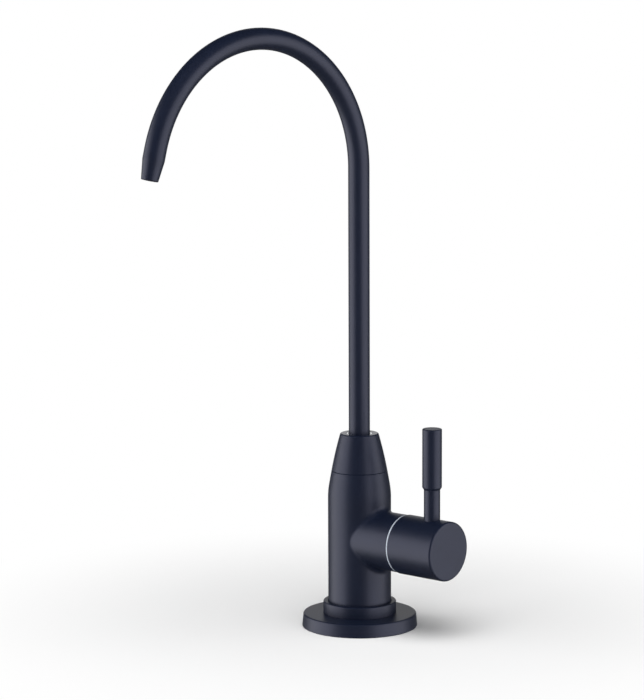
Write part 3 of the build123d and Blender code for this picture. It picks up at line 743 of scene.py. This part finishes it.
# Cone nut: carries the body's taper on to the spout, over a fine V at the seam. Its mouth is
# staked over the bush's shoulder in a thin lip.
coneSizes = {
    "topR": 8.57,
    "topEdge": 0.7,
    "edgeRoom": 1.5,         # the wall's points stop this many top edges below the top
    "seamEdge": 0.2,
    "arcPoints": 16,
    "pointGap": 0.2,
    "threadR": 10.05,
    "relief": 0.4,           # above the body's spigot, as is the ledge
    "ledge": 3.0,
    "flangeBoreR": 8.9,
    "tubeHoleR": 5.35,
    "bushSeatR": 6.45,
    "lipR": 5.8,
    "lipThick": 0.3,
    "lipEdge": 0.08,
}
coneLow, coneHigh = measured("cone_nut")
bushLow, bushHigh = measured("spout_bush")
lipUnder = coneHigh.z - coneSizes["lipThick"]
conePoints, coneEnd = tangentArc(seam, taperEnd, (coneSizes["topR"], coneHigh.z), coneSizes["arcPoints"])
firstUp = Vector(seam) + Vector(taperEnd) * coneSizes["seamEdge"]
wallStop = Vector(coneEnd) * coneSizes["edgeRoom"] * coneSizes["topEdge"]
lastUp = Vector((coneSizes["topR"], coneHigh.z)) - wallStop
coneRim = rounded([tuple(lastUp), (coneSizes["topR"], coneHigh.z, coneSizes["topEdge"]),
                   (coneSizes["lipR"], coneHigh.z, coneSizes["lipEdge"]), (coneSizes["lipR"], lipUnder)],
                  closed=False)
coneProfile = [(seam[0] - coneSizes["seamEdge"], seam[1]), tuple(firstUp)]
coneProfile += [p for p in conePoints
                if firstUp.y + coneSizes["pointGap"] < p[1] < lastUp.y - coneSizes["pointGap"]]
ledgeZ, reliefZ = bodyHigh.z + coneSizes["ledge"], bodyHigh.z + coneSizes["relief"]
coneProfile += coneRim + [
    (coneSizes["bushSeatR"], lipUnder),
    (coneSizes["bushSeatR"], bushLow.z),
    (coneSizes["tubeHoleR"], bushLow.z),
    (coneSizes["tubeHoleR"], ledgeZ),
    (coneSizes["flangeBoreR"], ledgeZ),
    (coneSizes["flangeBoreR"], reliefZ),
    (coneSizes["threadR"], reliefZ),
    (coneSizes["threadR"], coneLow.z),
]
coneProfile.append(coneProfile[0])
dress(turned("cone_nut", coneProfile, segments=128,
             Material=powderCoat("satinPowderCoatFaced", smoothFrom=coneHigh.z)), "cone_nut")

# Bush: bright ring in the nut's top, with its shoulder under the nut's lip. Its bore opens at the
# top, which reads as a dark line round the tube.
bushSizes = {"boreR": 4.8, "edge": 0.08, "mouthWide": 0.35, "mouthDeep": 0.8, "mouthEdge": 0.05,
             "lipGap": 0.03}
shoulderR, bushShoulderZ = coneSizes["lipR"] - bushSizes["lipGap"], lipUnder - bushSizes["lipGap"]
dress(turned("spout_bush", rounded([
    (bushHigh.x, bushLow.z),
    (bushHigh.x, bushShoulderZ),
    (shoulderR, bushShoulderZ),
    (shoulderR, bushHigh.z, bushSizes["edge"]),
    (bushSizes["boreR"] + bushSizes["mouthWide"], bushHigh.z, bushSizes["mouthEdge"]),
    (bushSizes["boreR"], bushHigh.z - bushSizes["mouthDeep"]),
    (bushSizes["boreR"], bushLow.z),
]), segments=96), "spout_bush")
print("cone nut and bush made")

# Spout: one tube, bent past the half turn, with its end swaged in and its rim rolled
spoutSizes = {
    "tubeR": 4.75,
    "wall": 1.0,
    "turnFromFront": 6.0,        # degrees from -Y towards -X at rest
    "bendStart": 207.4,
    "bendR": 59.3,
    "bendAngle": 165.0,
    "runOut": 4.3,
    "taperLength": 8.8,
    "tipR": 3.67,
    "tipEdge": 0.25,
    "taperRound": 6.0,
    "bendRows": 96,
    "riserRowGap": 12,
}


def spoutProfile():
    s = spoutSizes
    foot = measured("spout_tube")[0].z
    bendEnd = s["bendStart"] + s["bendR"] * radians(s["bendAngle"])
    taperStart = bendEnd + s["runOut"]
    tip = taperStart + s["taperLength"]
    rowGap = (bendEnd - s["bendStart"]) / s["bendRows"]
    bore = s["tubeR"] - s["wall"]
    ends = (s["tubeR"], foot), (s["tubeR"], s["bendStart"]), (s["tubeR"], bendEnd)
    outside = [ends[0], *along(ends[0], ends[1], s["riserRowGap"]),
               ends[1], *along(ends[1], ends[2], rowGap), ends[2]]
    tipPoints = rounded([
        (s["tubeR"], bendEnd),
        (s["tubeR"], taperStart, s["taperRound"]),
        (s["tipR"], tip, s["tipEdge"]),
        (s["tipR"] - s["wall"], tip, s["tipEdge"]),
        (bore, taperStart),
        (bore, bendEnd),
    ], closed=False)
    inside = [(r - s["wall"], z) for r, z in reversed(outside)]
    whole = outside[:-1] + tipPoints + inside[1:]
    return whole + [whole[0]]


dress(turned("spout_tube", spoutProfile(), segments=72, turn=(0, 0, -90 - spoutSizes["turnFromFront"]),
             Straight_before_bend=spoutSizes["bendStart"] * mm, Bend_radius=spoutSizes["bendR"] * mm,
             Bend_angle=radians(spoutSizes["bendAngle"])), "spout_tube")
print("spout made")

# Trim ring, pale and thin, between the branch and the hub
ringSizes = {"edge": 0.15, "boreR": 9.05}
ringLow, ringHigh = measured("trim_ring")
alongX = {"place": (0, 0, handleZ), "turn": (0, 90, 0)}
dress(turned("trim_ring", rounded([
    (ringSizes["boreR"], ringLow.x),
    (ringHigh.y, ringLow.x, ringSizes["edge"]),
    (ringHigh.y, ringHigh.x, ringSizes["edge"]),
    (ringSizes["boreR"], ringHigh.x),
]), segments=128, **alongX), "trim_ring")

# Hub: a cup over the cartridge's hexagon. Its rows lie close together where the lever goes in.
hubSizes = {"endEdge": 0.9, "rimEdge": 0.2, "cavityR": 11.6, "cavityEnd": 34.5, "boreR": 4.05,
            "boreEnd": 47.5, "leverHoleR": 3.65, "tailHoleR": 3.05, "seat": 12.0, "innerEdge": 0.1,
            "rowGap": 1.6}
hubR = hubHigh.y
hubWall = (hubR, hubLow.x), (hubR, hubHigh.x)
hub = turned("handle_hub", rounded([
    (hubSizes["cavityR"], hubLow.x, hubSizes["innerEdge"]),
    (hubR, hubLow.x, hubSizes["rimEdge"]),
    *along(*hubWall, hubSizes["rowGap"]),
    (hubR, hubHigh.x, hubSizes["endEdge"]),
    (0, hubHigh.x),
    (0, hubSizes["boreEnd"]),
    (hubSizes["boreR"], hubSizes["boreEnd"]),
    (hubSizes["boreR"], hubSizes["cavityEnd"]),
    (hubSizes["cavityR"], hubSizes["cavityEnd"]),
]), segments=128, **alongX)
aboveHub = (leverX, 0, handleZ + hubR + drillPast)
hub = drilled(hub, [
    ((leverX, 0, handleZ), aboveHub, hubSizes["tailHoleR"]),
    ((leverX, 0, handleZ + hubSizes["seat"]), aboveHub, hubSizes["leverHoleR"]),
], segments=64)
dress(hub, "handle_hub")

# Lever: one turned bar. The grip starts at a short rounded step and ends in a softened top.
leverSizes = {"tailR": 3.0, "tailEdge": 0.5, "neckR": 3.6, "gripStart": 26.7, "stepHeight": 1.1,
              "stepRound": 0.5, "topEdge": 0.45, "neckEdge": 0.15, "rowGap": 3}
gripR = (leverHigh.x - leverLow.x) / 2
leverBottom, leverTop = leverLow.z - handleZ, leverHigh.z - handleZ
leverSeat = (leverSizes["neckR"], hubSizes["seat"])
neckRows = along(leverSeat, (leverSizes["neckR"], leverSizes["gripStart"]), leverSizes["rowGap"])
dress(turned("lever", rounded([
    (0, leverBottom),
    (leverSizes["tailR"], leverBottom, leverSizes["tailEdge"]),
    (leverSizes["tailR"], hubSizes["seat"]),
    leverSeat,
    *neckRows,
    (leverSizes["neckR"], leverSizes["gripStart"], leverSizes["neckEdge"]),
    (gripR, leverSizes["gripStart"] + leverSizes["stepHeight"], leverSizes["stepRound"]),
    (gripR, leverTop, leverSizes["topEdge"]),
    (0, leverTop),
], closed=False), segments=96, place=(leverX, 0, handleZ)), "lever")
print("handle made")

# Shank: threaded from its step up into the body, with a finer thread on its foot
shankSizes = {
    "boreR": 2.4,
    "socketR": 3.2,
    "stepZ": -45.0,
    "footR": 5.0,
    "pitch": 25.4 / 24,
    "threadDepth": 0.6,
    "footPitch": 1.0,
    "footThreadDepth": 0.5,
    "edge": 0.5,
    "footRelief": 0.4,
    "topRelief": 1,
}


def shankProfile():
    s = shankSizes
    shankR = shankHigh.x
    return [
        (s["socketR"], shankLow.z),
        (s["footR"] - s["edge"], shankLow.z),
        (s["footR"], shankLow.z + s["edge"]),
        *threadRows(s["footR"], shankLow.z + s["edge"], s["stepZ"] - s["footRelief"], s["footPitch"],
                    s["footThreadDepth"]),
        (s["footR"], s["stepZ"]),
        (shankR - s["edge"], s["stepZ"]),
        (shankR, s["stepZ"] + s["edge"]),
        *threadRows(shankR, s["stepZ"] + s["edge"], shankHigh.z - s["topRelief"], s["pitch"],
                    s["threadDepth"]),
        (shankR, shankHigh.z - s["edge"]),
        (shankR - s["edge"], shankHigh.z),
        (s["boreR"], shankHigh.z),
        (s["boreR"], s["stepZ"]),
        (s["socketR"], s["stepZ"]),
        (s["socketR"], shankLow.z),
    ]


dress(turned("threaded_shank", shankProfile(), segments=60), "threaded_shank", sharpAngle=25)

# Clamp washers
washerSizes = {"boreR": 5.65, "edges": {"rubber_washer": 0.35, "steel_washer": 0.15}}
for node, edge in washerSizes["edges"].items():
    low, high = measured(node)
    profile = ringProfile(washerSizes["boreR"], high.x, low.z, high.z, edge)
    dress(turned(node, profile, segments=128), node)


# A flat band with teeth that point in and are twisted a little
def buildToothedTree():
    tree, given = newTree("toothedRing", "Blank", (
        ("Teeth", "Int", 12),
        ("Outer radius", "Float", 0.01),
        ("Band", "Float", 0.002),
        ("Thickness", "Float", 0.001),
        ("Tooth width", "Float", 0.0015),
        ("Tooth tip radius", "Float", 0.005),
        ("Twist", "Float", 0.2),
        ("Height", "Float", 0),
    ))
    halfBand = addNode(tree, "ShaderNodeMath", {0: given["Band"], 1: 0.5}, operation="MULTIPLY")
    middle = addNode(tree, "ShaderNodeMath", {0: given["Outer radius"], 1: halfBand}, operation="SUBTRACT")
    rail = addNode(tree, "GeometryNodeCurvePrimitiveCircle", {"Resolution": 120, "Radius": middle})
    section = addNode(tree, "GeometryNodeCurvePrimitiveQuadrilateral",
                      {"Width": given["Band"], "Height": given["Thickness"]})
    band = addNode(tree, "GeometryNodeCurveToMesh",
                   {"Curve": rail.outputs["Curve"], "Profile Curve": section.outputs["Curve"]})

    reach = addNode(tree, "ShaderNodeMath", {0: middle, 1: given["Tooth tip radius"]}, operation="SUBTRACT")
    toothMiddle = addNode(tree, "ShaderNodeMath", {0: reach, 1: 0.5, 2: given["Tooth tip radius"]},
                          operation="MULTIPLY_ADD")
    size = addNode(tree, "ShaderNodeCombineXYZ",
                   {"X": reach, "Y": given["Tooth width"], "Z": given["Thickness"]})
    tooth = addNode(tree, "GeometryNodeMeshCube", {"Size": size})
    twist = addNode(tree, "ShaderNodeCombineXYZ", {"X": given["Twist"]})
    tooth = addNode(tree, "GeometryNodeTransform", {"Geometry": tooth, "Rotation": twist})
    spots = addNode(tree, "GeometryNodeCurvePrimitiveCircle",
                    {"Resolution": given["Teeth"], "Radius": toothMiddle})
    index = addNode(tree, "GeometryNodeInputIndex").outputs[0]
    share = addNode(tree, "ShaderNodeMath", {0: index, 1: given["Teeth"]}, operation="DIVIDE")
    angle = addNode(tree, "ShaderNodeMath", {0: share, 1: 2 * pi}, operation="MULTIPLY")
    facing = addNode(tree, "ShaderNodeCombineXYZ", {"Z": angle})
    teeth = addNode(tree, "GeometryNodeInstanceOnPoints",
                    {"Points": spots.outputs["Curve"], "Instance": tooth,
                     "Rotation": facing})
    cut = addNode(tree, "GeometryNodeRealizeInstances", {"Geometry": teeth})
    both = addNode(tree, "GeometryNodeMeshBoolean", {"Mesh 2": band}, operation="UNION", solver="EXACT")
    tree.links.new(cut.outputs[0], both.inputs["Mesh 2"])
    lift = addNode(tree, "ShaderNodeCombineXYZ", {"Z": given["Height"]})
    placed = addNode(tree, "GeometryNodeTransform", {"Geometry": both, "Translation": lift})
    finishTree(tree, placed, given)
    return tree


lockSizes = {"teeth": 12, "band": 1.8, "thickness": 0.7, "toothWidth": 1.4, "twist": 14.0}
lockLow, lockHigh = measured("lock_washer")
blank = bpy.data.meshes.new("lock_washerToothed")
lockWasher = runTree("lock_washerToothed", blank, buildToothedTree(), {
    "Teeth": lockSizes["teeth"],
    "Outer radius": lockHigh.x * mm,
    "Band": lockSizes["band"] * mm,
    "Thickness": lockSizes["thickness"] * mm,
    "Tooth width": lockSizes["toothWidth"] * mm,
    "Tooth tip radius": washerSizes["boreR"] * mm,
    "Twist": radians(lockSizes["twist"]),
    "Height": (lockLow.z + lockHigh.z) / 2 * mm,
    "Material": materialOf["zinc_steel"],
})
dress(lockWasher, "lock_washer", sharpAngle=20)

# Nut: a hexagon with its corners turned off, threaded right through
nutSizes = {"boreR": 5.6, "flats": 17.5, "cornerEdge": 0.7, "mouthEdge": 0.5, "threadDepth": 0.55,
            "rowGap": 0.2}
nutLow, nutHigh = measured("clamp_nut")


def nutProfile():
    s = nutSizes
    cornerR = s["flats"] / sqrt(3)
    face, mouth = s["flats"] / 2, s["boreR"] + s["mouthEdge"]
    low, high = nutLow.z, nutHigh.z
    lowEdge = [(face, low), (cornerR, low + s["cornerEdge"])]
    highEdge = [(cornerR, high - s["cornerEdge"]), (face, high)]
    rows = [(mouth, low), lowEdge[0], *along(*lowEdge, s["rowGap"]), lowEdge[1]]
    rows += [highEdge[0], *along(*highEdge, s["rowGap"]), highEdge[1], (mouth, high)]
    bore = threadRows(s["boreR"], low + s["mouthEdge"], high - s["mouthEdge"],
                      shankSizes["pitch"], -s["threadDepth"])
    rows += list(reversed(bore))
    return rows + [rows[0]]


dress(turned("clamp_nut", nutProfile(), segments=96, Across_flats=nutSizes["flats"] * mm),
      "clamp_nut", sharpAngle=20)
print("clamp set made")

# The sealed inner pieces keep their CAD shapes
for node, piece in frame["nodes"].items():
    if not piece.hide_render:
        piece.data.materials.clear()
        piece.data.materials.append(materialOf[slotOf[node]])
print("inner pieces dressed")

# The studio
cameraView = {
    "place": (878.3, -1025.5, 333.4),
    "azimuth": 40.578,
    "yaw": -0.706,
    "pitch": 8.734,
    "roll": -0.228,
    "lens": 157.19,
    "sensorWidth": 36,
}


def makeCamera():
    v = cameraView
    yaw, pitch, roll = radians(v["yaw"]), radians(v["pitch"]), radians(v["roll"])
    forward = Vector((sin(yaw) * cos(pitch), cos(yaw) * cos(pitch), -sin(pitch)))
    level = Vector((cos(yaw), -sin(yaw), 0))
    up = level.cross(forward)
    right = level * cos(roll) + up * sin(roll)
    top = up * cos(roll) - level * sin(roll)
    axes = Matrix((right, top, -forward)).transposed().to_4x4()
    camera = bpy.data.objects.new("camera", bpy.data.cameras.new("camera"))
    camera.data.lens = v["lens"]
    camera.data.sensor_width = v["sensorWidth"]
    camera.matrix_world = (Matrix.Translation(Vector(v["place"]) * mm)
                           @ Matrix.Rotation(radians(v["azimuth"]), 4, "Z") @ axes)
    bpy.context.scene.collection.objects.link(camera)
    bpy.context.scene.camera = camera


# Two tall soft boxes stand at the sides and reach below the worktop's level, as the tap stood on a
# raised stand. A fill lamp that reflections don't show brings the light to a plain level.
studio = {
    "aim": (0, 0, 110),
    "leftBox": {"turn": -86, "rise": -4, "distance": 900, "wide": 1200, "tall": 1150, "radiance": 2.4},
    "rightBox": {"turn": 66, "rise": 0, "distance": 900, "wide": 1400, "tall": 1200, "radiance": 1.95},
    "fillBox": {"turn": -10, "rise": 62, "distance": 1300, "wide": 1200, "tall": 1200, "radiance": 4.0},
    "roomLevel": 0.12,
    "ceilingLevel": 0.04,
    "ceiling": (-0.1, 0.3),     # between these heights, as shares of straight up, the room fades to it
    "backdropRise": 6,          # middle of the white paper behind the tap
    "backdropSpread": (25, 5),  # where its edge fades out, in degrees from its middle
    "floorColour": "#f3f3f3",
    "floorHalf": 3,             # in metres, as are the two distances below
    "white": (0.05, 0.22),      # the floor turns to pure white for the camera between these distances
}


def fromTap(turn, rise):
    # Direction by its turn from the camera's side, positive to the viewer's right, and its rise
    turn, rise = radians(cameraView["azimuth"] + turn), radians(rise)
    return Vector((sin(turn) * cos(rise), -cos(turn) * cos(rise), sin(rise)))


def softBox(name, box):
    away = fromTap(box["turn"], box["rise"])
    light = bpy.data.lights.new(name, "AREA")
    light.shape = "RECTANGLE"
    light.size = box["wide"] * mm
    light.size_y = box["tall"] * mm
    light.energy = box["radiance"] * pi * light.size * light.size_y
    lamp = bpy.data.objects.new(name, light)
    lamp.location = (Vector(studio["aim"]) + away * box["distance"]) * mm
    lamp.rotation_euler = away.to_track_quat("Z", "Y").to_euler()
    bpy.context.scene.collection.objects.link(lamp)
    return lamp


def makeFloor():
    material, tree, place = newMaterial("studioFloor")
    away = addNode(tree, "ShaderNodeVectorMath", {0: place}, operation="LENGTH")
    far = addNode(tree, "ShaderNodeMapRange",
                  {"Value": away.outputs["Value"], "From Min": studio["white"][0],
                   "From Max": studio["white"][1]}, interpolation_type="SMOOTHSTEP")
    rays = addNode(tree, "ShaderNodeLightPath")
    seen = addNode(tree, "ShaderNodeMath",
                   {0: far.outputs["Result"], 1: rays.outputs["Is Camera Ray"]}, operation="MULTIPLY")
    matt = addNode(tree, "ShaderNodeBsdfDiffuse", {"Color": linear(studio["floorColour"])})
    white = addNode(tree, "ShaderNodeEmission", {"Color": (1, 1, 1, 1), "Strength": 1})
    top = addNode(tree, "ShaderNodeMixShader", {0: seen, 1: matt, 2: white})
    # From below there is no floor, so that the clamp set shows
    under = addNode(tree, "ShaderNodeNewGeometry").outputs["Backfacing"]
    clear = addNode(tree, "ShaderNodeBsdfTransparent")
    shader = addNode(tree, "ShaderNodeMixShader", {0: under, 1: top, 2: clear})
    addNode(tree, "ShaderNodeOutputMaterial", {"Surface": shader})
    mesh = bpy.data.meshes.new("floor")
    half = studio["floorHalf"]
    mesh.from_pydata([(-half, -half, 0), (half, -half, 0), (half, half, 0), (-half, half, 0)], [],
                     [(0, 1, 2, 3)])
    mesh.materials.append(material)
    floor = bpy.data.objects.new("floor", mesh)
    # The floor takes the tap's shadow, but hides no part of a soft box
    floor.visible_shadow = False
    floor.visible_glossy = False
    bpy.context.scene.collection.objects.link(floor)


def makeRoom():
    # The camera sees plain white, and reflections see it low down behind the tap, where it is. The
    # rest of the room is dim with a dark ceiling.
    world = bpy.data.worlds.new("room")
    bpy.context.scene.world = world
    world.use_nodes = True
    tree = world.node_tree
    tree.nodes.clear()
    way = addNode(tree, "ShaderNodeTexCoord").outputs["Generated"]
    facing = addNode(tree, "ShaderNodeVectorMath",
                     {0: way, 1: fromTap(180, studio["backdropRise"])}, operation="DOT_PRODUCT")
    wide, narrow = studio["backdropSpread"]
    paper = addNode(tree, "ShaderNodeMapRange",
                    {"Value": facing.outputs["Value"], "From Min": cos(radians(wide)),
                     "From Max": cos(radians(narrow))}, interpolation_type="SMOOTHSTEP")
    rays = addNode(tree, "ShaderNodeLightPath").outputs
    mirrored = addNode(tree, "ShaderNodeMath", {0: paper.outputs["Result"], 1: rays["Is Glossy Ray"]},
                       operation="MULTIPLY")
    seen = addNode(tree, "ShaderNodeMath", {0: rays["Is Camera Ray"], 1: rays["Is Transmission Ray"]},
                   operation="MAXIMUM")
    white = addNode(tree, "ShaderNodeMath", {0: mirrored, 1: seen}, operation="MAXIMUM")
    height = addNode(tree, "ShaderNodeSeparateXYZ", {0: way}).outputs["Z"]
    dim = addNode(tree, "ShaderNodeMapRange",
                  {"Value": height, "From Min": studio["ceiling"][0], "From Max": studio["ceiling"][1],
                   "To Min": studio["roomLevel"], "To Max": studio["ceilingLevel"]},
                  interpolation_type="SMOOTHSTEP")
    level = addNode(tree, "ShaderNodeMix",
                    {"Factor": white, "A": dim.outputs["Result"], "B": 1.0}, data_type="FLOAT")
    background = addNode(tree, "ShaderNodeBackground", {"Color": (1, 1, 1, 1), "Strength": level})
    addNode(tree, "ShaderNodeOutputWorld", {"Surface": background})


makeCamera()
for name in ("leftBox", "rightBox"):
    softBox(name, studio[name])
softBox("fillBox", studio["fillBox"]).visible_glossy = False
makeFloor()
makeRoom()
bpy.context.scene.view_settings.view_transform = "Standard"
print("studio made")
